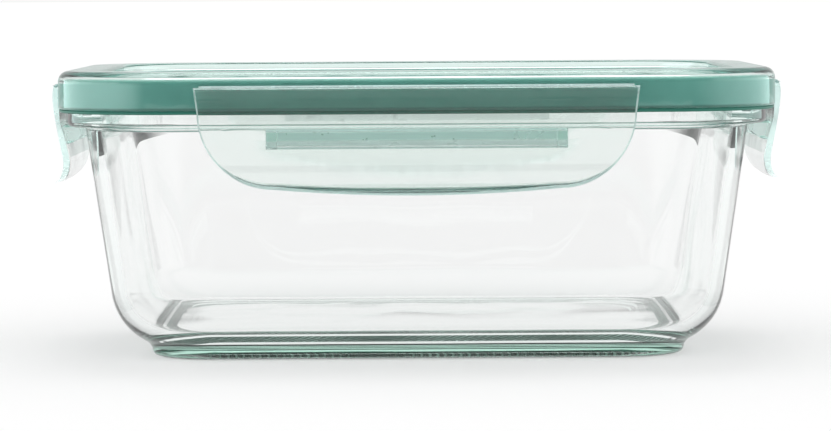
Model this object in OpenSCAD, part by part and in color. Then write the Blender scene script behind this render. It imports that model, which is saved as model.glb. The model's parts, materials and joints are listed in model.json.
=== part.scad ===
// Rectangular glass food container with a clear snap lid.
// Origin at the centre of the foot, on the table. X is the long way, Z is up, the front faces -Y.

/* [Overall size] */
// Length of the lid cover, latches not included
lid_l = 196; // [190:1:215]
// Width of the lid cover, latches not included
lid_w = 145; // [140:1:165]
// Height of the closed container
total_h = 79; // [75:1:87]
// Plan radius of the lid's corners
lid_corner_r = 32; // [31:0.5:34]

/* [Glass dish] */
// Thickness of the glass wall
glass_t = 4; // [3.5:0.1:4.2]
// Height of the glass floor's upper face above the table
floor_top = 6.5; // [5.5:0.1:8]
// Slope of the wall from upright, in degrees
wall_draft = 8; // [7:0.5:9]
// Radius of the curve from wall to base, outside
base_curve_r = 18; // [17:0.5:19]
// Height that the foot ring stands below the base
foot_h = 1.8; // [1.2:0.1:2]
// Width of the foot ring
foot_w = 5; // [4:0.5:6]
// Height of the glass rim
rim_h = 9; // [8.8:0.1:9.6]
// How far the rim stands out from the wall under it
rim_overhang = 4.8; // [4.4:0.1:5]

/* [Lid cover] */
// Thickness of the skirt
skirt_t = 1.5; // [1.3:0.1:1.6]
// Depth of the skirt below the top of the lid
skirt_h = 9.8; // [9.4:0.1:10.2]
// Thickness of the crown and of the top panel
panel_t = 1.8; // [1.6:0.1:2]
// Radius on the top outer edge
edge_r = 3; // [2:0.1:3]
// Width of the raised crown round the recess
crown_w = 12; // [11.5:0.1:12.5]
// Depth of the recess in the top
recess_h = 3.5; // [3.2:0.1:3.8]
// Thickness of the ring wall under the panel
plug_t = 1.6; // [1.4:0.1:1.8]

/* [Latches] */
// Half width of the front and back latches at the hinge
long_latch_half = 59.4; // [54:0.2:59.4]
// Half width of the side latches at the hinge
short_latch_half = 38.6; // [36:0.2:38.6]
// Radius of the lower corners of a latch
latch_corner_r = 20; // [16:0.5:20]
// Length of the hook rib as a share of the latch's width
hook_share = 0.68; // [0.5:0.02:0.8]

/* [Hidden] */
$fn = 64;
far = 400;

// Corner centres of the lid, the rim and the seal.
lid_cx = lid_l / 2 - lid_corner_r;
lid_cy = lid_w / 2 - lid_corner_r;

// Corner centres of the dish under its rim, a little nearer the middle.
dish_shift = 4;
dish_cx = lid_cx - dish_shift;
dish_cy = lid_cy - dish_shift;

// Heights from the table, and radii about the lid's corner centres.
crown_low = total_h - panel_t;
panel_top = total_h - recess_h;
panel_low = panel_top - panel_t;
seal_flange_t = 0.9;
rim_top = panel_low - seal_flange_t;
rim_low = rim_top - rim_h;
skirt_low = total_h - skirt_h;
skirt_in_r = lid_corner_r - skirt_t;
seal_lip_t = 0.6;
rim_gap = 0.1;
rim_r = skirt_in_r - seal_lip_t - rim_gap;
recess_r = lid_corner_r - crown_w;
step_t = 1.5;
plug_set_in = 1.4;
plug_r = recess_r - plug_set_in;
plug_depth = 5.1;
plug_low = panel_low - plug_depth;
seal_bead_h = 1.4;
seal_bead_in = 0.4;
seal_lip_low = skirt_low - seal_bead_h;
inner_lip_t = 1.2;
inner_lip_short = 1;
inner_lip_low = plug_low + inner_lip_short;

// Wall line of the dish: radius about the dish's corner centres at a height.
wall_top_r = rim_r - rim_overhang + dish_shift;
function wall_r(z) = wall_top_r - (rim_low - z) * tan(wall_draft);
base_cz = foot_h + base_curve_r;
base_cr = wall_r(base_cz - base_curve_r * sin(wall_draft)) - base_curve_r * cos(wall_draft);
heel_extra = 0.5;
inner_curve_r = base_curve_r - glass_t - heel_extra;
inner_cz = floor_top + inner_curve_r;
inner_cr = wall_r(inner_cz - inner_curve_r * sin(wall_draft)) - glass_t - inner_curve_r * cos(wall_draft);
foot_set_out = 6.9;
foot_out_r = base_cr + foot_set_out;
foot_join = 1.5;
rim_join = 3;

// Latch section, in (outward from the lid's face, height).
hinge_out = 1;
hinge_drop = 4.2;
hinge_z = total_h - hinge_drop;
head_r = 0.9;
groove_r = 0.5;
bead_r = 0.45;
film_t = 0.3;
film_ledge = 0.5;
bead_set_in = 1.5;
latch_drop = 28.6;
latch_low = hinge_z - latch_drop;
latch_taper = 0.9;
latch_belly = 1.6;
plate_in = 0.25;
hook_play = 0.4;
hook_top = rim_low - hook_play;
hook_in = -5.5;
hook_tip_h = 2.8;
hook_root_h = 4.4;
hook_end_w = 2.6;
hook_end_drop = 0.6;

// ---- shared shapes ----

// Carries a section, drawn as (radius, height), round a rounded rectangle.
module carry_round(cx, cy) {
    for (turn = [0, 1])
        rotate([0, 0, 180 * turn]) {
            translate([cx, cy, 0]) rotate_extrude(angle = 90) children();
            translate([-cx, cy, 0]) rotate([0, 0, 90]) rotate_extrude(angle = 90) children();
            translate([cx, cy, 0]) rotate([90, 0, 0]) linear_extrude(2 * cy) children();
            translate([-cx, cy, 0]) rotate([90, 0, 90]) linear_extrude(2 * cx) children();
        }
}

// Fills the middle that carry_round leaves open.
module core(cx, cy, z0, z1) {
    translate([-cx, -cy, z0]) cube([2 * cx, 2 * cy, z1 - z0]);
}

// A rectangle from one corner to the other.
module band(r0, z0, r1, z1) {
    translate([r0, z0]) square([r1 - r0, z1 - z0]);
}

// A bowl section: a wall line that runs into a round bottom curve.
module bowl_2d(curve_r, cr, cz, wall_shift, z_top) {
    tangent_z = cz - curve_r * sin(wall_draft);
    intersection() {
        union() {
            translate([cr, cz]) circle(curve_r);
            polygon([
                [0, cz - curve_r],
                [cr, cz - curve_r],
                [wall_r(tangent_z) - wall_shift, tangent_z],
                [wall_r(z_top) - wall_shift, z_top],
                [0, z_top]
            ]);
        }
        band(0, 0, far, z_top);
    }
}

// ---- glass dish ----

module rim_2d() {
    low_r = 1.2;
    top_r = 2;
    band(0, rim_low, rim_r - top_r, rim_top);
    band(0, rim_low + low_r, rim_r, rim_top - top_r);
    translate([rim_r - low_r, rim_low + low_r]) circle(low_r);
    translate([rim_r - top_r, rim_top - top_r]) circle(top_r);
}

module glass_dish() {
    color([0.86, 0.93, 0.9, 0.4])
        difference() {
            union() {
                carry_round(dish_cx, dish_cy) bowl_2d(base_curve_r, base_cr, base_cz, 0, rim_top - rim_join);
                core(dish_cx, dish_cy, foot_h, rim_top - rim_join);
                carry_round(lid_cx, lid_cy) rim_2d();
                core(lid_cx, lid_cy, rim_low, rim_top);
                carry_round(dish_cx, dish_cy)
                    band(foot_out_r - foot_w, 0, foot_out_r, foot_h + foot_join);
            }
            carry_round(dish_cx, dish_cy) bowl_2d(inner_curve_r, inner_cr, inner_cz, glass_t, total_h);
            core(dish_cx, dish_cy, floor_top, total_h);
        }
}

// ---- lid ----

module cover_2d() {
    edge_cr = lid_corner_r - edge_r;
    edge_cz = total_h - edge_r;
    difference() {
        union() {
            band(recess_r, panel_low, edge_cr, total_h);
            band(recess_r, skirt_low, lid_corner_r, edge_cz);
            intersection() {
                translate([edge_cr, edge_cz]) circle(edge_r);
                band(edge_cr, edge_cz, lid_corner_r, total_h);
            }
        }
        band(recess_r + step_t, skirt_low - 1, skirt_in_r, crown_low);
        band(recess_r - 1, skirt_low - 1, recess_r + step_t, panel_low);
    }
    band(0, panel_low, recess_r + step_t, panel_top);
    band(plug_r - plug_t, plug_low, plug_r, panel_low);
}

module lid_cover() {
    color([0.78, 0.93, 0.9, 0.5]) {
        carry_round(lid_cx, lid_cy) cover_2d();
        core(lid_cx, lid_cy, panel_low, panel_top);
    }
}

module seal_2d() {
    band(recess_r + step_t, rim_top, skirt_in_r, crown_low);
    band(skirt_in_r - seal_lip_t, seal_lip_low, skirt_in_r, crown_low);
    band(skirt_in_r - seal_lip_t, seal_lip_low, lid_corner_r - seal_bead_in, skirt_low);
    band(plug_r, rim_top, recess_r + step_t, panel_low);
    band(plug_r, inner_lip_low, plug_r + inner_lip_t, panel_low);
}

module seal() {
    color([0.22, 0.6, 0.56]) carry_round(lid_cx, lid_cy) seal_2d();
}

// ---- latches ----

// Side view of the flap: thin at the hinge, thick at the waist, flared at the lip.
module flap_section_2d() {
    difference() {
        union() {
            translate([hinge_out, hinge_z]) circle(head_r);
            polygon([
                [hinge_out + head_r, hinge_z],
                [1.9, hinge_z - 3.6],
                [1.7, hinge_z - 6.6],
                [1.2, hinge_z - 10.1],
                [0.6, hinge_z - 14.2],
                [0, hinge_z - 18.2],
                [-0.2, hinge_z - 21.6],
                [0.6, hinge_z - 24.6],
                [2.1, hinge_z - 26.4],
                [5, latch_low + 0.8],
                [4.5, latch_low],
                [1.2, hinge_z - 27.4],
                [-0.8, hinge_z - 25.2],
                [-2, hinge_z - 21.8],
                [-1.8, hinge_z - 18.2],
                [-1, hinge_z - 14.2],
                [plate_in - 0.2, hinge_z - 10.1],
                [plate_in, skirt_low],
                [plate_in, hinge_z]
            ]);
        }
        translate([hinge_out, hinge_z]) circle(groove_r);
        // Mouth of the groove, so that the flap can swing up past its film.
        polygon([
            [hinge_out, hinge_z],
            [hinge_out + 4, hinge_z],
            [hinge_out + 4, hinge_z + 4],
            [hinge_out - 4, hinge_z + 4],
            [hinge_out - 4, hinge_z - 4 * tan(30)]
        ]);
    }
}

// Face view of the flap: square at the hinge, round at the lower corners.
module flap_outline_2d(half) {
    waist_half = half - latch_taper;
    corner_z = latch_low + latch_belly + latch_corner_r;
    corner_w = waist_half - latch_corner_r;
    belly_r = corner_w * corner_w / (2 * latch_belly);
    polygon([
        [-half, hinge_z + 2],
        [half, hinge_z + 2],
        [waist_half, corner_z],
        [-waist_half, corner_z]
    ]);
    for (side = [-1, 1])
        translate([side * corner_w, corner_z]) circle(latch_corner_r);
    intersection() {
        band(-corner_w, latch_low - 1, corner_w, corner_z);
        translate([0, latch_low + belly_r]) circle(belly_r, $fn = 200);
    }
}

module hook_2d() {
    polygon([
        [hook_in, hook_top],
        [hook_in, hook_top - hook_tip_h],
        [-1.8, hook_top - hook_root_h],
        [-0.9, hook_top - hook_root_h],
        [0, hook_top]
    ]);
}

// Square webs that close the two ends of the hook rib.
module hook_web_2d() {
    polygon([
        [hook_in + 0.6, hook_top - 1],
        [hook_in + 0.6, hook_top - 3.4],
        [-2.2, hook_top - hook_root_h - hook_end_drop],
        [-1.2, hook_top - hook_root_h - hook_end_drop],
        [-0.4, hook_top - 1]
    ]);
}

// A latch on the +X side of a lid whose face is at face_x.
module latch(face_x, half) {
    hook_half = half * hook_share;
    translate([face_x, 0, 0]) {
        intersection() {
            translate([0, half + 1, 0]) rotate([90, 0, 0]) linear_extrude(2 * half + 2) flap_section_2d();
            translate([-10, 0, 0]) rotate([90, 0, 90]) linear_extrude(20) flap_outline_2d(half);
        }
        translate([0, hook_half, 0]) rotate([90, 0, 0]) linear_extrude(2 * hook_half) hook_2d();
        for (end_y = [-hook_half, hook_half - hook_end_w])
            translate([0, end_y + hook_end_w, 0])
                rotate([90, 0, 0]) linear_extrude(hook_end_w) hook_web_2d();
    }
}

// The bead that a latch swings on, and the film with a sloping ledge that joins it to the cover.
module film_hinge(face_x, half) {
    bead_half = half - bead_set_in;
    translate([face_x, 0, 0]) {
        translate([hinge_out, bead_half, hinge_z]) rotate([90, 0, 0]) cylinder(h = 2 * bead_half, r = bead_r);
        translate([0, bead_half, 0])
            rotate([90, 0, 0])
                linear_extrude(2 * bead_half)
                    polygon([
                        [0, hinge_z - film_t / 2],
                        [hinge_out, hinge_z - film_t / 2],
                        [hinge_out, hinge_z + film_t / 2],
                        [hinge_out / 2, hinge_z + film_t / 2 + 0.05],
                        [0, hinge_z + film_ledge]
                    ]);
    }
}

latch_colour = [0.74, 0.91, 0.89, 0.6];
film_colour = [0.66, 0.88, 0.85];

module front_latch() { color(latch_colour) rotate([0, 0, -90]) latch(lid_w / 2, long_latch_half); }
module back_latch() { color(latch_colour) rotate([0, 0, 90]) latch(lid_w / 2, long_latch_half); }
module left_latch() { color(latch_colour) rotate([0, 0, 180]) latch(lid_l / 2, short_latch_half); }
module right_latch() { color(latch_colour) latch(lid_l / 2, short_latch_half); }

module front_film_hinge() { color(film_colour) rotate([0, 0, -90]) film_hinge(lid_w / 2, long_latch_half); }
module back_film_hinge() { color(film_colour) rotate([0, 0, 90]) film_hinge(lid_w / 2, long_latch_half); }
module left_film_hinge() { color(film_colour) rotate([0, 0, 180]) film_hinge(lid_l / 2, short_latch_half); }
module right_film_hinge() { color(film_colour) film_hinge(lid_l / 2, short_latch_half); }

glass_dish();
lid_cover();
seal();
front_latch();
back_latch();
left_latch();
right_latch();
front_film_hinge();
back_film_hinge();
left_film_hinge();
right_film_hinge();
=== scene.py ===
"""Looks of the snap lid food container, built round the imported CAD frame.

Every moulded piece is lofted here as a fine mesh with rounded edges and takes the place of its CAD node.
Lengths in this file are millimetres until mm() turns them into metres.
"""
import bisect
import json
import math
import bmesh
import bpy
from mathutils import Matrix, Vector


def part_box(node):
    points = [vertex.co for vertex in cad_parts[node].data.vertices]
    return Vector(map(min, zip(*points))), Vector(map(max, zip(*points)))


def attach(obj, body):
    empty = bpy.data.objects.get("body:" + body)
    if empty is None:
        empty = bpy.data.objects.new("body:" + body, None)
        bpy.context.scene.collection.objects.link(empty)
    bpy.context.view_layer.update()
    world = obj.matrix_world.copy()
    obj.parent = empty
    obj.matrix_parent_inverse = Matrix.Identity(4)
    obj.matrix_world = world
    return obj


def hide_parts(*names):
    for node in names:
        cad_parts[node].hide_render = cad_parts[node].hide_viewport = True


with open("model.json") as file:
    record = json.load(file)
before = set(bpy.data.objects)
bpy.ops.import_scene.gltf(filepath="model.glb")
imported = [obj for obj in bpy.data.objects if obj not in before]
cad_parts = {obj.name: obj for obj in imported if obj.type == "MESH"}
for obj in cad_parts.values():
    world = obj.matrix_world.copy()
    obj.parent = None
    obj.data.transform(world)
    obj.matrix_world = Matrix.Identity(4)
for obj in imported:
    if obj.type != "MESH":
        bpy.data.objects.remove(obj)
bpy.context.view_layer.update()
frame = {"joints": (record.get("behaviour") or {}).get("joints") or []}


# ---------------------------------------------------------------- sizes

def node_mm(node):
    """Lowest and highest corner of a CAD node, in millimetres."""
    low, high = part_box(node)
    return low * 1000, high * 1000


cover_low, cover_high = node_mm("lid_cover")
dish_high = node_mm("glass_dish")[1]
front_high = node_mm("front_latch")[1]
right_low, right_high = node_mm("right_latch")

LID_X = cover_high.x
LID_Y = cover_high.y
TOP = cover_high.z
SKIRT_LOW = cover_low.z
SIDE_GAP = LID_X - LID_Y           # long half minus short half, the same for every ring
LID_CORNER = 32.0
LID_CENTRE = LID_X - LID_CORNER    # x of the lid's corner centres
LEAST_CORNER = 4.0                 # no ring of the dish's inside or of the cover has tighter corners

RIM_X = dish_high.x
RIM_TOP = dish_high.z
RIM_H = 9.0
RIM_OVERHANG = 4.8                 # how far the rim stands out from the wall under it
RIM_LOW = RIM_TOP - RIM_H
WALL_TOP_X = RIM_X - RIM_OVERHANG
GLASS_T = 4.0
DRAFT = math.radians(8)
BASE_Z = 1.8
BASE_CURVE = 18.0
BASE_X = 65.0                      # half length near the base, where the corners are tightest
BASE_CORNER = 12.0
FLOOR_Z = 6.5
INNER_CURVE = 13.5
FOOT_SET_OUT = 6.9                 # the foot's outer edge, outwards from the centre of the base curve
FOOT_W = 5.0
CORNER_STEP = 4.0
BODY_CENTRE = LID_CENTRE - CORNER_STEP     # x of the dish's corner centres just under the rim

HINGE = {j["child"]: Vector(j["pos_m"]) * 1000 for j in frame["joints"] if j["type"] == "hinge"}
HINGE_Z = HINGE["right_latch"].z
HINGE_OUT = HINGE["right_latch"].x - LID_X
LATCH_LOW = right_low.z
LONG_HALF = front_high.x
SHORT_HALF = right_high.y


def mm(value):
    return value / 1000


# ---------------------------------------------------------------- mesh helpers

def finish_mesh(name, bm, body, node, slot, *materials):
    """Turns a bmesh in millimetres into a smooth piece that stands for a CAD node."""
    bmesh.ops.recalc_face_normals(bm, faces=bm.faces)
    bmesh.ops.scale(bm, vec=(0.001, 0.001, 0.001), verts=bm.verts)
    mesh = bpy.data.meshes.new(name)
    bm.to_mesh(mesh)
    bm.free()
    mesh.shade_smooth()
    piece = bpy.data.objects.new(name, mesh)
    bpy.context.scene.collection.objects.link(piece)
    for material in materials:
        mesh.materials.append(material)
    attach(piece, body)
    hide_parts(node)
    # Clear plastic would block all light and cast a full dark shadow, so it casts none.
    piece.visible_shadow = slot != "clear_plastic"
    return piece


def flat_shading(piece):
    """Lets the large faces set the normals, so that flat walls don't bend light at their edges."""
    normals = piece.modifiers.new("flat_faces", "WEIGHTED_NORMAL")
    normals.keep_sharp = False


def soften(piece, width, angle):
    """Rounds the edges of a piece that are sharper than angle, and keeps its flat faces flat."""
    bevel = piece.modifiers.new("soft_edges", "BEVEL")
    bevel.width = mm(width)
    bevel.segments = 3
    bevel.limit_method = "ANGLE"
    bevel.angle_limit = math.radians(angle)
    flat_shading(piece)


def plan_ring(half_x, centre_x, z, steps):
    """Points round a rounded rectangle. steps counts those per corner, per long and per short side."""
    per_corner, per_long, per_short = steps
    half_y = half_x - SIDE_GAP
    centre_y = centre_x - SIDE_GAP
    radius = half_x - centre_x
    sides = [
        (Vector((half_x, -centre_y)), Vector((half_x, centre_y)), per_short, 0),
        (Vector((centre_x, half_y)), Vector((-centre_x, half_y)), per_long, 90),
        (Vector((-half_x, centre_y)), Vector((-half_x, -centre_y)), per_short, 180),
        (Vector((-centre_x, -half_y)), Vector((centre_x, -half_y)), per_long, 270),
    ]
    corner_signs = [(1, 1), (-1, 1), (-1, -1), (1, -1)]
    points = []
    for (start, end, count, turn), (sx, sy) in zip(sides, corner_signs):
        for i in range(count):
            p = start.lerp(end, i / count)
            points.append(Vector((p.x, p.y, z)))
        for i in range(per_corner):
            a = math.radians(turn + 90 * i / per_corner)
            x = sx * centre_x + radius * math.cos(a)
            y = sy * centre_y + radius * math.sin(a)
            points.append(Vector((x, y, z)))
    return points


def loft(rings, closed):
    """Quads between rings. An open loft has caps, a closed one joins its last ring to its first."""
    bm = bmesh.new()
    rows = [[bm.verts.new(p) for p in ring] for ring in rings]
    count = len(rows[0])
    pairs = list(zip(rows, rows[1:]))
    if closed:
        pairs.append((rows[-1], rows[0]))
    for a, b in pairs:
        for i in range(count):
            j = (i + 1) % count
            bm.faces.new((a[i], a[j], b[j], b[i]))
    if not closed:
        bm.faces.new(rows[0])
        bm.faces.new(rows[-1])
    return bm


def arc(cx, cz, radius, start, end, count):
    """Points of a section's arc, in degrees from +x towards +z, both ends included."""
    points = []
    for i in range(count + 1):
        a = math.radians(start + (end - start) * i / count)
        points.append((cx + radius * math.cos(a), cz + radius * math.sin(a)))
    return points


def line(a, b, count):
    """Points between a and b, neither of them included."""
    return [
        (a[0] + (b[0] - a[0]) * i / (count + 1), a[1] + (b[1] - a[1]) * i / (count + 1))
        for i in range(1, count + 1)
    ]


# ---------------------------------------------------------------- materials

NOISE_RANGE = (0.3, 0.7)           # nearly all of a noise texture lies in this range
GLASS_IOR = 1.5
PLASTIC_IOR = 1.49


def new_material(name):
    material = bpy.data.materials.new(name)
    material.use_nodes = True
    nodes = material.node_tree.nodes
    return material, nodes, material.node_tree.links, nodes["Principled BSDF"]


def object_noise(nodes, links, scale, detail):
    """A noise in metres that sticks to the piece."""
    coords = nodes.new("ShaderNodeTexCoord")
    noise = nodes.new("ShaderNodeTexNoise")
    noise.inputs["Scale"].default_value = scale
    noise.inputs["Detail"].default_value = detail
    links.new(coords.outputs["Object"], noise.inputs["Vector"])
    return noise.outputs["Fac"]


def map_range(nodes, links, value, source, target=(0, 1), smooth=False):
    """Carries a value from the range source to the range target."""
    remap = nodes.new("ShaderNodeMapRange")
    if smooth:
        remap.interpolation_type = "SMOOTHSTEP"
    for name, number in zip(("From Min", "From Max", "To Min", "To Max"), (*source, *target)):
        remap.inputs[name].default_value = number
    links.new(value, remap.inputs["Value"])
    return remap.outputs["Result"]


def object_axis(nodes, links, axis):
    """One coordinate of a point on the piece, in metres."""
    coords = nodes.new("ShaderNodeTexCoord")
    split = nodes.new("ShaderNodeSeparateXYZ")
    links.new(coords.outputs["Object"], split.inputs["Vector"])
    return split.outputs[axis]


def colour_mix(nodes, links, colour_a, colour_b, factor):
    """From colour_a to colour_b as factor goes from 0 to 1. Either may be the output of a node."""
    mix = nodes.new("ShaderNodeMix")
    mix.data_type = "RGBA"
    for socket, colour in (("A", colour_a), ("B", colour_b)):
        if isinstance(colour, tuple):
            mix.inputs[socket].default_value = (*colour, 1)
        else:
            links.new(colour, mix.inputs[socket])
    links.new(factor, mix.inputs["Factor"])
    return mix.outputs["Result"]


def bump(nodes, links, shader, height, strength, distance):
    node = nodes.new("ShaderNodeBump")
    node.inputs["Strength"].default_value = strength
    node.inputs["Distance"].default_value = distance
    links.new(height, node.inputs["Height"])
    links.new(node.outputs["Normal"], shader.inputs["Normal"])


def absorb(nodes, links, colour, density):
    """Tints light by the length of its way through the piece."""
    node = nodes.new("ShaderNodeVolumeAbsorption")
    node.inputs["Color"].default_value = (*colour, 1)
    node.inputs["Density"].default_value = density
    links.new(node.outputs["Volume"], nodes["Material Output"].inputs["Volume"])


def glass_material():
    material, nodes, links, shader = new_material("clear_glass")
    shader.inputs["Base Color"].default_value = (0.995, 0.98, 0.985, 1)
    shader.inputs["Transmission Weight"].default_value = 1
    shader.inputs["IOR"].default_value = GLASS_IOR
    shader.inputs["Roughness"].default_value = 0
    bump(nodes, links, shader, object_noise(nodes, links, 28, 1), 0.25, 0.0012)
    absorb(nodes, links, (0.4, 0.8, 0.66), 11)
    return material


def knurl_material():
    """The stippled foot of the dish: cloudy dark green with pale dots. The dark green is partly the tint of
    thick glass and partly painted shade from under the foot; the pale dots are painted glints.
    """
    material, nodes, links, shader = new_material("knurled_glass_painted_shade")
    coords = nodes.new("ShaderNodeTexCoord")
    wave = nodes.new("ShaderNodeTexWave")
    wave.bands_direction = "DIAGONAL"
    wave.inputs["Scale"].default_value = 285
    wave.inputs["Distortion"].default_value = 1.5
    wave.inputs["Detail Scale"].default_value = 0.4
    links.new(coords.outputs["Object"], wave.inputs["Vector"])
    patches = map_range(nodes, links, object_noise(nodes, links, 22, 1), NOISE_RANGE, (0.3, 1.2))
    glint_specks = nodes.new("ShaderNodeMath")
    glint_specks.operation = "MULTIPLY"
    links.new(wave.outputs["Fac"], glint_specks.inputs[0])
    links.new(patches, glint_specks.inputs[1])
    clear = map_range(nodes, links, glint_specks.outputs["Value"], (0.5, 0.9))
    # Dark green: partly the tint of thick glass, partly painted shade from under the foot. Pale dots:
    # painted glints.
    green = colour_mix(nodes, links, (0.02, 0.065, 0.045), (0.35, 0.55, 0.47), clear)
    links.new(green, shader.inputs["Base Color"])
    shader.inputs["Transmission Weight"].default_value = 0.3
    shader.inputs["IOR"].default_value = GLASS_IOR
    shader.inputs["Roughness"].default_value = 0.25
    return material


def plastic_material(name, colour, transmission, haze, haze_scale, ripple=None, absorption=None, glow=None):
    """A clear or cloudy plastic.

    haze is the range of its roughness, in patches of haze_scale. ripple is the scale, strength and distance
    of its bump, absorption a colour and a density, glow a colour and a strength of painted light.
    """
    material, nodes, links, shader = new_material(name)
    shader.inputs["Base Color"].default_value = (*colour, 1)
    shader.inputs["Transmission Weight"].default_value = transmission
    shader.inputs["IOR"].default_value = PLASTIC_IOR
    patches = object_noise(nodes, links, haze_scale, 3)
    links.new(map_range(nodes, links, patches, NOISE_RANGE, haze), shader.inputs["Roughness"])
    if ripple:
        scale, strength, distance = ripple
        bump(nodes, links, shader, object_noise(nodes, links, scale, 2), strength, distance)
    if absorption:
        absorb(nodes, links, *absorption)
    if glow:
        # The glow is painted light: the piece glows though it is no lamp.
        painted_glow_colour, painted_glow_strength = glow
        shader.inputs["Emission Color"].default_value = (*painted_glow_colour, 1)
        shader.inputs["Emission Strength"].default_value = painted_glow_strength
    return material


def silicone_material():
    """Teal, with painted shade: a dark green on the bead below the cover's skirt, where it lies in shadow.
    """
    material, nodes, links, shader = new_material("teal_silicone")
    mottle = object_noise(nodes, links, 90, 4)
    patches = map_range(nodes, links, mottle, NOISE_RANGE)
    teal = colour_mix(nodes, links, (0.21, 0.56, 0.49), (0.25, 0.63, 0.55), patches)
    shaded_bead_band = (mm(SKIRT_LOW), mm(SKIRT_LOW + 1.1))
    above_shaded_bead = map_range(nodes, links, object_axis(nodes, links, "Z"), shaded_bead_band, smooth=True)
    # The dark green on the bead is painted shade, not the silicone's own colour.
    links.new(colour_mix(nodes, links, (0.01, 0.15, 0.105), teal, above_shaded_bead), shader.inputs["Base Color"])
    links.new(map_range(nodes, links, mottle, NOISE_RANGE, (0.38, 0.52)), shader.inputs["Roughness"])
    bump(nodes, links, shader, object_noise(nodes, links, 1500, 3), 0.15, 0.0001)
    return material


# ---------------------------------------------------------------- glass dish

def wall_x(z):
    """Half length of the outside of the glass wall at a height."""
    return WALL_TOP_X - (RIM_LOW - z) * math.tan(DRAFT)


def bowl_curve(curve, low_z, inset):
    """Centre of the arc that joins a floor at low_z to the wall set in by inset."""
    cz = low_z + curve
    cx = wall_x(cz - curve * math.sin(DRAFT)) - inset - curve * math.cos(DRAFT)
    return cx, cz


def body_centre(half_x):
    """x of the corner centres of the dish: corners get tighter towards the base."""
    top_corner = WALL_TOP_X - BODY_CENTRE
    growth = (top_corner - BASE_CORNER) / (WALL_TOP_X - BASE_X)
    return half_x - (BASE_CORNER + (half_x - BASE_X) * growth)


def dish_sections():
    """The dish's rings, from under the base, up outside, and down inside.

    Returns half length, height and corner centre of each ring, the foot's inner and outer edge, and which
    strips between the rings take the cloudy foot glass, whose dark green is partly painted shade.
    """
    cx, cz = bowl_curve(BASE_CURVE, BASE_Z, 0)
    foot_out = cx + FOOT_SET_OUT
    foot_in = foot_out - FOOT_W
    under = [(foot_in - 14, BASE_Z + 0.5), (foot_in - 5, BASE_Z + 0.2), (foot_in - 1.2, BASE_Z)]
    under += arc(foot_in - 0.4, BASE_Z - 0.5, 0.5, 90, 0, 3)
    foot = [(foot_in + 0.5, 0.08), (foot_in + 1.1, 0), (foot_in + 1.7, 0), (foot_in + 2.3, 0),
            (foot_in + 2.9, 0), (foot_in + 3.5, 0), (foot_in + 4.1, 0.12), (foot_out - 0.3, 0.5)]
    leave = -62.0                      # degrees, where the base curve leaves the foot
    flank = [(foot_out + 0.05, 1.2), (foot_out + 0.3, 2.4), (foot_out + 0.9, 3.2)]
    curve = arc(cx, cz, BASE_CURVE, leave, -math.degrees(DRAFT), 16)
    wall_end = (wall_x(RIM_LOW - 1.1), RIM_LOW - 1.1)
    wall = line(curve[-1], wall_end, 6) + [wall_end]
    rows = [(x, z, body_centre(x)) for x, z in under + foot + flank + curve + wall]

    # From here up the corners turn into the lid's. The third number says how far, from 0 to 1.
    neck_x = wall_x(RIM_LOW)
    under_rim = [(neck_x + 0.1, RIM_LOW - 0.35, 0.02), (neck_x + 0.5, RIM_LOW - 0.05, 0.1),
                 (RIM_X - 2.4, RIM_LOW, 0.8)]
    rim = [(x, z, 1) for x, z in arc(RIM_X - 1.5, RIM_LOW + 1.5, 1.5, -90, 0, 5)]
    rim += [(RIM_X, RIM_LOW + 4, 1)]
    rim += [(x, z, 1) for x, z in arc(RIM_X - 2.6, RIM_TOP - 2.6, 2.6, 0, 90, 7)]
    mouth_x = wall_x(RIM_TOP) - GLASS_T
    mouth = [(x, z, 0) for x, z in arc(mouth_x + 1.8, RIM_TOP - 1.8, 1.8, 90, 180 + math.degrees(DRAFT), 6)]
    for x, z, towards_lid in under_rim + rim + [(RIM_X - 4, RIM_TOP, 0.5)] + mouth:
        rows.append((x, z, BODY_CENTRE + (LID_CENTRE - BODY_CENTRE) * towards_lid))

    ix, iz = bowl_curve(INNER_CURVE, FLOOR_Z, GLASS_T)
    inner_curve = arc(ix, iz, INNER_CURVE, -math.degrees(DRAFT), -90, 14)
    inner = line(rows[-1][:2], inner_curve[0], 6) + inner_curve
    inner += [(ix - 5, FLOOR_Z - 0.05), (ix - 16, FLOOR_Z - 0.1)]
    for x, z in inner:
        lift = math.sqrt(max(0, BASE_CURVE ** 2 - max(0, cz - z) ** 2))
        outside_x = wall_x(z) if z > cz else cx + lift
        rows.append((x, z, min(body_centre(outside_x), x - LEAST_CORNER)))
    # From just inside the foot to the middle of its bearing face.
    shaded_cloudy_strips = range(len(under) - 5, len(under) + 4)
    return rows, foot_in, foot_out, shaded_cloudy_strips


def make_dish(clear, cloudy):
    """The dish, with slanting knurls on the bearing face of its foot."""
    per_bump = 5
    steps = (30, 290, 170)             # multiples of per_bump, so that the knurls close round the foot
    bump_rise = 0.32
    slant = 0.9                        # bumps by which a knurl shifts on its way across the foot
    rows, foot_in, foot_out, shaded_cloudy_strips = dish_sections()
    rings = []
    for x, z, centre in rows:
        ring = plan_ring(x, centre, z, steps)
        across = (x - foot_in) / (foot_out - foot_in)
        if 0.15 < across < 0.8 and z < 0.2:
            fade = math.sin(math.pi * (across - 0.1) / 0.8)
            for i, p in enumerate(ring):
                wave = 0.5 - 0.5 * math.cos(2 * math.pi * (i / per_bump + slant * across))
                p.z += bump_rise * wave * fade
        rings.append(ring)
    bm = loft(rings, closed=False)
    for i, face in enumerate(bm.faces):
        # These strips take the foot glass, whose dark green is partly painted shade.
        if i // len(rings[0]) in shaded_cloudy_strips:
            face.material_index = 1
    flat_shading(finish_mesh("dish", bm, "dish", "glass_dish", "clear_glass", clear, cloudy))


# ---------------------------------------------------------------- lid cover and seal

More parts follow.
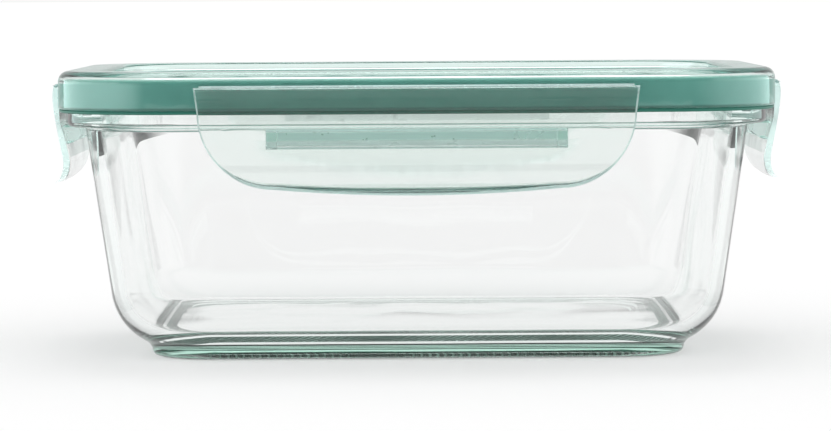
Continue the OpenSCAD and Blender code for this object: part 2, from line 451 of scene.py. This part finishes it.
CROWN_T = 1.8
CROWN_W = 12.0                     # from the lid's face to the wall of the recess
RECESS_DEPTH = 3.5
PANEL_T = 1.8
SKIRT_T = 1.5
EDGE_R = 3.0
PLUG_SET_IN = 1.4                  # the ring wall under the panel, inwards from the recess
PLUG_H = 5.1
PANEL_TOP = TOP - RECESS_DEPTH
PANEL_LOW = PANEL_TOP - PANEL_T
CROWN_LOW = TOP - CROWN_T
RECESS_X = LID_X - CROWN_W
SKIRT_IN = LID_X - SKIRT_T
PLUG_X = RECESS_X - PLUG_SET_IN
PLUG_LOW = PANEL_LOW - PLUG_H
LID_STEPS = (28, 24, 16)


def cover_sections():
    """Half length and height of the cover's rings, from the panel's top, over the crown, and back under."""
    top = [(RECESS_X - 40, PANEL_TOP), (RECESS_X - 12, PANEL_TOP), (RECESS_X - 1.6, PANEL_TOP)]
    top += arc(RECESS_X - 1, PANEL_TOP + 1, 1, -90, 0, 4)
    top += arc(RECESS_X + 1, TOP - 1, 1, 180, 90, 4)
    top += [(RECESS_X + 4.5, TOP)]
    edge = arc(LID_X - EDGE_R, TOP - EDGE_R, EDGE_R, 90, 0, 8)
    skirt = [(LID_X, SKIRT_LOW + 3.5)]
    skirt += arc(LID_X - 0.55, SKIRT_LOW + 0.55, 0.55, 0, -90, 3)
    skirt += arc(SKIRT_IN + 0.45, SKIRT_LOW + 0.45, 0.45, -90, -180, 3)
    channel = [(SKIRT_IN, SKIRT_LOW + 4)]
    channel += arc(SKIRT_IN - 1, CROWN_LOW - 1, 1, 0, 90, 4)
    channel += arc(RECESS_X + 2.5, CROWN_LOW - 1, 1, 90, 180, 4)
    under = arc(RECESS_X + 0.9, PANEL_LOW + 0.6, 0.6, 0, -90, 3)
    under += [(PLUG_X + 1, PANEL_LOW)]
    under += arc(PLUG_X + 0.5, PANEL_LOW - 0.5, 0.5, 90, 180, 3)
    plug = arc(PLUG_X - 0.7, PLUG_LOW + 0.7, 0.7, 0, -90, 4)
    plug += arc(PLUG_X - 0.95, PLUG_LOW + 0.65, 0.65, -90, -180, 4)
    plug += arc(PLUG_X - 2.4, PANEL_LOW - 0.8, 0.8, 0, 90, 4)
    middle = [(PLUG_X - 12, PANEL_LOW), (PLUG_X - 40, PANEL_LOW)]
    return top + edge + skirt + channel + under + plug + middle


def make_cover(material):
    rings = []
    for x, z in cover_sections():
        rings.append(plan_ring(x, min(LID_CENTRE, x - LEAST_CORNER), z, LID_STEPS))
    bm = loft(rings, closed=False)
    flat_shading(finish_mesh("cover", bm, "lid", "lid_cover", "clear_plastic", material))


def seal_sections():
    """A soft channel that wraps the rim: outer lip with a bead under the skirt, pad, inner lip."""
    bond = 0.05                        # the seal bites into the skirt, so that no air shows between them
    out_x = SKIRT_IN + bond
    web_low = RIM_TOP + 0.06
    lip_in = RIM_X + 0.12
    bead_x = LID_X - 0.4
    bead_low = SKIRT_LOW - 0.95
    bead_top = SKIRT_LOW - 0.03
    gap = 0.3                          # air between the seal's top and the crown
    points = [(out_x, SKIRT_LOW + 0.3), (out_x, SKIRT_LOW + 4)]
    points += arc(out_x - 1.5, CROWN_LOW - gap - 1.5, 1.5, 0, 90, 5)
    points += arc(RECESS_X + 2.5, CROWN_LOW - gap - 0.8, 0.8, 90, 180, 4)
    points += [(RECESS_X + 1.7, PANEL_LOW + bond), (PLUG_X + 0.8, PANEL_LOW + bond)]
    points += [(PLUG_X - bond, PANEL_LOW - 0.8)]
    points += arc(PLUG_X + 0.66, PLUG_LOW + 1.6, 0.5, 180, 360, 5)
    points += [(PLUG_X + 1.2, web_low - 0.8), (PLUG_X + 1.9, web_low), (RIM_X - 3.4, web_low)]
    points += arc(RIM_X - 2.6, RIM_TOP - 2.6, 2.72, 80, 0, 5)
    points += [(lip_in, bead_low + 0.3), (lip_in + 0.3, bead_low)]
    points += arc(bead_x - 0.5, bead_low + 0.5, 0.5, -90, 0, 4)
    points += arc(bead_x - 0.4, bead_top - 0.4, 0.4, 0, 90, 4)
    return points


def make_seal(material):
    rings = [plan_ring(x, LID_CENTRE, z, LID_STEPS) for x, z in seal_sections()]
    bm = loft(rings, closed=True)
    flat_shading(finish_mesh("seal_ring", bm, "lid", "seal", "teal_silicone", material))


# ---------------------------------------------------------------- latches

# Outer and inner face of the flap: outward from the lid's face, and down from the hinge.
OUTER_FACE = [(1.55, 0.2), (1.85, 1.8), (1.9, 3.6), (1.7, 6.6), (1.2, 10.1), (0.6, 14.2), (0.0, 18.2),
              (-0.2, 21.6), (0.6, 24.6), (2.1, 26.6), (5.0, 28.6)]
INNER_FACE = [(0.35, 0.2), (0.35, 1.8), (0.3, 3.6), (0.25, 6.6), (0.05, 10.1), (-0.95, 14.2), (-1.7, 18.2),
              (-1.9, 21.8), (-0.9, 25.0), (0.9, 27.1), (3.9, 28.6)]
EDGE_SLANT = 0.4                   # the inner face is this much smaller all round than the outer face
CORNER_R = 20.0
TAPER = 0.9                        # the flap is this much narrower on each side at its waist
BELLY = 1.6                        # rise of the lower edge from the middle to the corners
HOOK_TOP = RIM_LOW - 0.4
HOOK_FOOT = HOOK_TOP - 5.0         # below this the flap's inner face is smooth again
HOOK_REACH = -5.4
HOOK_SHARE = 0.68                  # length of the hook rib against the flap's
HOOK_WEB = 2.6                     # thickness of the web at each end of the rib
RIB_DEPTH = 2.3                    # what stands further in than this counts as rib
# The groove for the hinge bead: radius and angle on the hinge axis, from the outer to the inner face.
GROOVE = [(0.9, -8), (0.82, 2), (0.56, 2), (0.52, -30), (0.52, -75), (0.52, -120), (0.56, -150), (0.8, -152)]


def smooth_curve(points, depth):
    """Outward place at a depth, on a smooth curve through the points."""
    depths = [d for _, d in points]
    i = min(max(bisect.bisect_right(depths, depth) - 1, 0), len(points) - 2)
    before = points[max(i - 1, 0)]
    a, b = points[i], points[i + 1]
    after = points[min(i + 2, len(points) - 1)]
    span = b[1] - a[1]
    t = min(max((depth - a[1]) / span, 0), 1)
    slope_a = (b[0] - before[0]) / (b[1] - before[1]) * span
    slope_b = (after[0] - a[0]) / (after[1] - a[1]) * span
    h = t * t * (3 - 2 * t)
    return a[0] * (1 - h) + b[0] * h + slope_a * t * (1 - t) ** 2 - slope_b * t * t * (1 - t)


def flap_low(w, waist_half):
    """Height of the flap's lower edge at a distance w from its middle."""
    corner_w = waist_half - CORNER_R
    if abs(w) <= corner_w:
        return LATCH_LOW + BELLY * (w / corner_w) ** 2
    out = min(abs(w) - corner_w, CORNER_R)
    return LATCH_LOW + BELLY + CORNER_R - math.sqrt(CORNER_R ** 2 - out ** 2)


def flap_columns(waist_half, hook_half):
    """Distances from the middle, with a close pair at each end of the hook rib and of its end webs."""
    corner_w = waist_half - CORNER_R
    web_start = hook_half - HOOK_WEB
    close = 0.15
    clear = 1.5                        # no other column comes nearer to a web than this
    step = 2.6
    right = []
    w = 0
    while w < web_start - clear:
        right.append(w)
        w += step
    right += [web_start - close, web_start, hook_half, hook_half + close]
    start = math.degrees(math.asin(min(1, (hook_half + clear - corner_w) / CORNER_R)))
    count = 18
    for i in range(count + 1):
        right.append(corner_w + CORNER_R * math.sin(math.radians(start + (90 - start) * i / count)))
    return [-w for w in reversed(right[1:])] + right


def flap_stations(head_z, low_z):
    """Stations down the flap: height, and how far the hook and its end webs stand inwards there."""
    hook = [
        (HOOK_TOP + 2.0, None, None), (HOOK_TOP + 0.9, None, None), (HOOK_TOP + 0.25, None, None),
        (HOOK_TOP, -1.8, -1.4), (HOOK_TOP - 0.05, HOOK_REACH + 0.5, HOOK_REACH + 1.4),
        (HOOK_TOP - 0.4, HOOK_REACH, HOOK_REACH + 0.9), (HOOK_TOP - 2.5, HOOK_REACH, HOOK_REACH + 0.7),
        (HOOK_TOP - 2.8, HOOK_REACH + 0.3, HOOK_REACH + 0.7), (HOOK_TOP - 4.1, -2.2, -3.2),
        (HOOK_TOP - 4.4, None, -2.8), (HOOK_FOOT, None, None),
    ]
    above_count = 12
    below_count = 14
    above = [head_z - i * (head_z - HOOK_TOP - 2.6) / above_count for i in range(above_count + 1)]
    below = [HOOK_FOOT - i * (HOOK_FOOT - low_z) / below_count for i in range(1, below_count + 1)]
    return [(z, None, None) for z in above] + hook + [(z, None, None) for z in below]


def head_section():
    """The flap's head, a half round bar with a groove for the bead: outward place and height."""
    section = []
    for radius, degrees in GROOVE:
        a = math.radians(degrees)
        section.append((HINGE_OUT + radius * math.cos(a), HINGE_Z + radius * math.sin(a)))
    return section


def make_latch(name, face, half, turn, *materials):
    """A flap hanging outside the +X face of the lid, turned to its own side.

    materials are those of the flap, of its cut edge and of its hook rib.
    """
    waist_half = half - TAPER
    hook_half = half * HOOK_SHARE
    columns = flap_columns(waist_half, hook_half)
    corner_z = LATCH_LOW + BELLY + CORNER_R
    head_z = HINGE_Z - OUTER_FACE[0][1]
    low_ref = flap_low(hook_half, waist_half)
    stations = flap_stations(head_z, low_ref)
    last = len(stations) - 1

    def place(z, w):
        """Height of a station in a column: the rib keeps its height, the rest follows the lower edge."""
        low = flap_low(w, waist_half)
        if abs(w) <= hook_half + 0.2:
            if z >= HOOK_FOOT:
                return z
            return HOOK_FOOT - (HOOK_FOOT - z) * (HOOK_FOOT - low) / (HOOK_FOOT - low_ref)
        return head_z - (head_z - z) * (head_z - low) / (head_z - low_ref)

    def widen(w, z):
        """The flap gets wider from its corners up to the hinge."""
        rise = min(1, max(0, (z - corner_z) / (HINGE_Z - corner_z)))
        return w * (1 + (half / waist_half - 1) * rise)

    def edge_rise(w):
        """How much higher the inner face ends, so that the cut edge shows as a narrow slant."""
        out = max(0, abs(w) - (waist_half - CORNER_R)) / CORNER_R
        return EDGE_SLANT * math.sqrt(max(0, 1 - out * out))

    bm = bmesh.new()
    outer, inner = [], []
    for w in columns:
        out_row, in_row = [], []
        w_in = w * (1 - EDGE_SLANT / waist_half)
        for s, (z, rib, end_web) in enumerate(stations):
            pz = place(z, w)
            depth = HINGE_Z - pz
            out_row.append(bm.verts.new((face + smooth_curve(OUTER_FACE, depth), widen(w, pz), pz)))
            o = smooth_curve(INNER_FACE, depth)
            if abs(w) <= hook_half - HOOK_WEB - 0.1 and rib is not None:
                o = min(o, rib)
            elif abs(w) <= hook_half + 0.05 and end_web is not None:
                o = min(o, end_web)
            rise = edge_rise(w) if s == last else 0
            in_row.append(bm.verts.new((face + o, widen(w_in, pz), pz + rise)))
        outer.append(out_row)
        inner.append(in_row)
    cut_edge = []
    for c in range(len(columns) - 1):
        for s in range(last):
            bm.faces.new((outer[c][s], outer[c + 1][s], outer[c + 1][s + 1], outer[c][s + 1]))
            bm.faces.new((inner[c][s], inner[c][s + 1], inner[c + 1][s + 1], inner[c + 1][s]))
        lowest = (outer[c][last], outer[c + 1][last], inner[c + 1][last], inner[c][last])
        cut_edge.append(bm.faces.new(lowest))
    # The head, from the outer face over to the inner face.
    section = head_section()
    head_rows = [[bm.verts.new((face + o, widen(w, z), z)) for o, z in section] for w in columns]
    for c in range(len(columns) - 1):
        strip_a = [outer[c][0]] + head_rows[c] + [inner[c][0]]
        strip_b = [outer[c + 1][0]] + head_rows[c + 1] + [inner[c + 1][0]]
        for s in range(len(strip_a) - 1):
            bm.faces.new((strip_a[s], strip_a[s + 1], strip_b[s + 1], strip_b[s]))
    for c in (0, len(columns) - 1):
        flap_end = outer[c][::-1] + head_rows[c] + inner[c]
        cut_edge.append(bm.faces.new(flap_end))
    for quad in cut_edge:
        quad.material_index = 1
    for quad in bm.faces:
        if quad.calc_center_median().x < face - RIB_DEPTH:
            quad.material_index = 2
    bmesh.ops.rotate(bm, cent=(0, 0, 0), matrix=Matrix.Rotation(math.radians(turn), 3, "Z"), verts=bm.verts)
    piece = finish_mesh(name + "_flap", bm, name, name, "clear_plastic", *materials)
    soften(piece, width=0.3, angle=38)


def make_film(name, face, half, turn, material):
    """The bead on the hinge axis with the film that joins it to the cover."""
    bead = 0.42
    film = 0.3
    bead_half = half - 1.5
    ledge = 0.5
    section = [(0.02, HINGE_Z - film / 2 - 0.12), (0.2, HINGE_Z - film / 2)]
    section += arc(HINGE_OUT, HINGE_Z, bead, -159, 150, 12)
    section += [(0.45, HINGE_Z + 0.2), (0.02, HINGE_Z + ledge)]
    bm = bmesh.new()
    ends = []
    for w in (-bead_half, bead_half):
        ends.append([bm.verts.new((face + o, w, z)) for o, z in section])
    for i in range(len(section)):
        j = (i + 1) % len(section)
        bm.faces.new((ends[0][i], ends[0][j], ends[1][j], ends[1][i]))
    bm.faces.new(ends[0])
    bm.faces.new(ends[1])
    bmesh.ops.rotate(bm, cent=(0, 0, 0), matrix=Matrix.Rotation(math.radians(turn), 3, "Z"), verts=bm.verts)
    finish_mesh(name + "_bead", bm, "lid", name, "clear_plastic", material)


# ---------------------------------------------------------------- assembly

glass = glass_material()
knurled_glass_painted_shade = knurl_material()
cover_plastic = plastic_material(
    "clear_plastic", (0.87, 0.95, 0.925), transmission=1, haze=(0.03, 0.07), haze_scale=60,
    ripple=(55, 0.3, 0.0006), absorption=((0.3, 0.92, 0.82), 8))
latch_plastic = plastic_material(
    "latch_plastic", (0.91, 0.955, 0.935), transmission=1, haze=(0.05, 0.1), haze_scale=70,
    ripple=(45, 0.25, 0.0006), absorption=((0.3, 0.92, 0.84), 6))
# The strip that bends has gone cloudy, so it takes the room's light all along.
hinge_plastic = plastic_material(
    "hinge_plastic", (0.72, 0.95, 0.92), transmission=0.2, haze=(0.2, 0.32), haze_scale=300,
    ripple=(900, 0.15, 0.0001))
# The cut edge of a flap is frosted. Its glow is painted light that stands for the light that clear plastic
# gathers at its edges.
glowing_edge_plastic = plastic_material(
    "glowing_edge_plastic", (0.84, 0.99, 0.965), transmission=0.5, haze=(0.2, 0.35), haze_scale=200,
    glow=((0.8, 1, 0.97), 0.25))
# The hook rib is thick and scuffed by the glass rim, so it looks cloudier than the flap. Its faint glow is
# painted light.
glowing_rib_plastic = plastic_material(
    "glowing_rib_plastic", (0.84, 0.93, 0.9), transmission=0.5, haze=(0.25, 0.4), haze_scale=250,
    ripple=(600, 0.2, 0.0001), glow=((0.8, 1, 0.96), 0.1))
silicone = silicone_material()

make_dish(glass, knurled_glass_painted_shade)
make_cover(cover_plastic)
make_seal(silicone)
for side, turn, face, half in (
    ("right", 0, LID_X, SHORT_HALF),
    ("back", 90, LID_Y, LONG_HALF),
    ("left", 180, LID_X, SHORT_HALF),
    ("front", 270, LID_Y, LONG_HALF),
):
    make_latch(side + "_latch", face, half, turn, latch_plastic, glowing_edge_plastic, glowing_rib_plastic)
    make_film(side + "_film_hinge", face, half, turn, hinge_plastic)


# ---------------------------------------------------------------- studio

def stage_mesh(name, corners, material):
    mesh = bpy.data.meshes.new(name)
    mesh.from_pydata(corners, [], [list(range(len(corners)))])
    obj = bpy.data.objects.new(name, mesh)
    mesh.materials.append(material)
    bpy.context.scene.collection.objects.link(obj)
    return obj


def make_floor():
    """A wide pale floor just under the foot. Its own glow keeps the dish's shadow soft."""
    material, _, _, shader = new_material("floor_white")
    shader.inputs["Base Color"].default_value = (0.62, 0.62, 0.62, 1)
    shader.inputs["Emission Color"].default_value = (1, 1, 1, 1)
    shader.inputs["Emission Strength"].default_value = 0.36
    shader.inputs["Roughness"].default_value = 1
    shader.inputs["Specular IOR Level"].default_value = 0
    size = 60
    z = -0.0003
    stage_mesh("floor", [(-size, -size, z), (size, -size, z), (size, size, z), (-size, size, z)], material)


def make_card(name, corners, radiance, glossy=False, through_glass=False, fade=None, colour=(1, 1, 1)):
    """A black or white card that never lights the floor: it is seen only in gloss or through glass.

    fade is the y range over which the card comes up to its radiance, and the radiance it starts from.
    """
    material = bpy.data.materials.new(name)
    material.use_nodes = True
    nodes = material.node_tree.nodes
    links = material.node_tree.links
    nodes.remove(nodes["Principled BSDF"])
    emission = nodes.new("ShaderNodeEmission")
    emission.inputs["Color"].default_value = (*colour, 1)
    emission.inputs["Strength"].default_value = radiance
    if fade:
        start_y, end_y, start_radiance = fade
        along = object_axis(nodes, links, "Y")
        rise = map_range(nodes, links, along, (start_y, end_y), (start_radiance, radiance), smooth=True)
        links.new(rise, emission.inputs["Strength"])
    links.new(emission.outputs["Emission"], nodes["Material Output"].inputs["Surface"])
    card = stage_mesh(name, corners, material)
    card.visible_camera = False
    card.visible_diffuse = False
    card.visible_shadow = False
    card.visible_glossy = glossy
    card.visible_transmission = through_glass


def upright(x0, y0, x1, y1, z0, z1):
    """Corners of a card that stands on the line from (x0, y0) to (x1, y1), between two heights."""
    return [(x0, y0, z0), (x1, y1, z0), (x1, y1, z1), (x0, y0, z1)]


def make_cards():
    """What the glass and the plastic see of the room."""
    black = 0.03
    make_card("room_dark", upright(-1.6, -1.2, 1.6, -1.2, 0, 0.5), black, glossy=True, through_glass=True)
    for name, x in (("flag_left", -0.34), ("flag_right", 0.34)):
        # These draw the dark outlines at the sides of the dish.
        make_card(name, upright(x, 0.1, x, 3, 0, 0.06), 0.95, through_glass=True, fade=(1, 2.8, black))
    # The floor under the dish, which real glass would let the light through to.
    x, y, z = 0.1, 0.075, -0.0001
    make_card("lit_base", [(-x, -y, z), (x, -y, z), (x, y, z), (-x, y, z)], 0.92, through_glass=True)
    make_card("sky_back", upright(-2.5, 1.8, 2.5, 1.8, 0, 2.2), 0.72, glossy=True, colour=(0.93, 1, 0.98))
    # These give the pale ends of the teal band.
    aqua = (0.8, 1, 0.97)
    for name, x, y, radiance, fade in (
        ("softbox_left", -0.5, -0.95, 3.6, (-0.95, -0.35, 0)),
        ("softbox_right", 0.5, -0.8, 3, (-0.8, 0.1, 0)),
    ):
        make_card(name, upright(x, y, x, 0.4, 0, 0.13), radiance, glossy=True, fade=fade, colour=aqua)


def make_sun():
    """A wide soft light from above and a little behind."""
    data = bpy.data.lights.new("overhead", "SUN")
    data.energy = 0.35
    data.angle = math.radians(26)
    light = bpy.data.objects.new("overhead", data)
    light.rotation_euler = (math.radians(-20), 0, 0)
    bpy.context.scene.collection.objects.link(light)


def make_world():
    world = bpy.data.worlds.new("studio")
    bpy.context.scene.world = world
    world.use_nodes = True
    background = world.node_tree.nodes["Background"]
    background.inputs["Color"].default_value = (1, 1, 1, 1)
    background.inputs["Strength"].default_value = 0.95


def make_camera():
    """Looks almost straight at the long side, from a little above the lid."""
    image_w = 831
    focal_px = 3687.6
    aside = -0.0005
    distance = 1.05
    height = 0.0993
    tilt = math.radians(90 - 3.437)
    roll = math.radians(-0.37)
    data = bpy.data.cameras.new("camera")
    data.sensor_width = 36
    data.lens = focal_px / image_w * data.sensor_width
    camera = bpy.data.objects.new("camera", data)
    aim = Matrix.Rotation(tilt, 4, "X") @ Matrix.Rotation(roll, 4, "Z")
    camera.matrix_world = Matrix.Translation((aside, -distance, height)) @ aim
    bpy.context.scene.collection.objects.link(camera)
    bpy.context.scene.camera = camera


make_floor()
make_cards()
make_sun()
make_world()
make_camera()

scene = bpy.context.scene
scene.view_settings.view_transform = "Standard"
scene.cycles.max_bounces = 24
scene.cycles.transmission_bounces = 24
scene.cycles.glossy_bounces = 8
scene.cycles.transparent_max_bounces = 16
